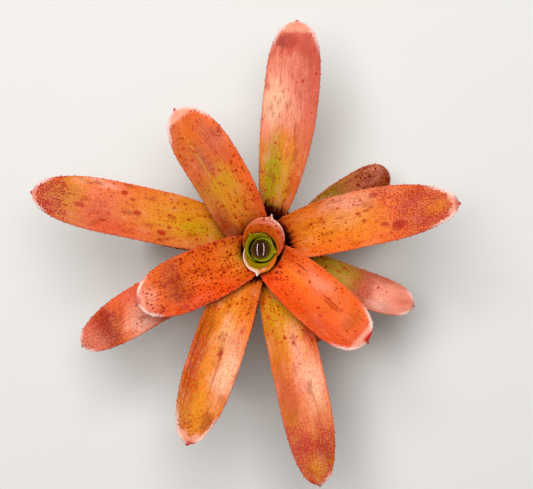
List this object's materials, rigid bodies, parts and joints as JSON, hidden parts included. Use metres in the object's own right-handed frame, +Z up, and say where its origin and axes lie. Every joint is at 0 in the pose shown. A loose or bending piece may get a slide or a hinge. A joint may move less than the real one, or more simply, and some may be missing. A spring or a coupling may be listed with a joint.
{
  "type": "neoregelia bromeliad plant",
  "caption": "Rosette of spotted, toothed strap leaves whose sheaths form a water tank, on a short stem cut flat so that it stands on a surface.",
  "frame": {"origin": "middle of the flat cut face at the foot of the stem", "axes": "+Z up along the stem and the tank, +X and +Y level, +Y towards the tip of the long rose-coloured leaf"},
  "size_m": [0.2976, 0.3244, 0.1136],
  "materials": {
    "stem": "fibrous, matt",
    "water": "still water, clear and dark",
    "cup_leaf": "glossy leaf, yellow-green with pink ends",
    "upper_leaf": "glossy leaf, orange with maroon spots",
    "middle_leaf": "glossy leaf, yellow-green to salmon rose",
    "lower_leaf": "glossy leaf, olive to dull pink"
  },
  "bodies": {
    "root": {"stem": "stem", "tank_water": "water", "cup_leaf_1": "cup_leaf", "cup_leaf_2": "cup_leaf", "cup_leaf_3": "cup_leaf", "cup_leaf_4": "cup_leaf", "upper_leaf_1": "upper_leaf", "upper_leaf_2": "upper_leaf", "upper_leaf_3": "upper_leaf", "upper_leaf_4": "upper_leaf", "upper_leaf_5": "upper_leaf", "middle_leaf_1": "middle_leaf", "middle_leaf_2": "middle_leaf", "middle_leaf_3": "middle_leaf", "lower_leaf_1": "lower_leaf", "lower_leaf_2": "lower_leaf", "lower_leaf_3": "lower_leaf", "lower_leaf_4": "lower_leaf", "lower_leaf_5": "lower_leaf", "lower_leaf_6": "lower_leaf", "lower_leaf_7": "lower_leaf"}
  },
  "joints": []
}
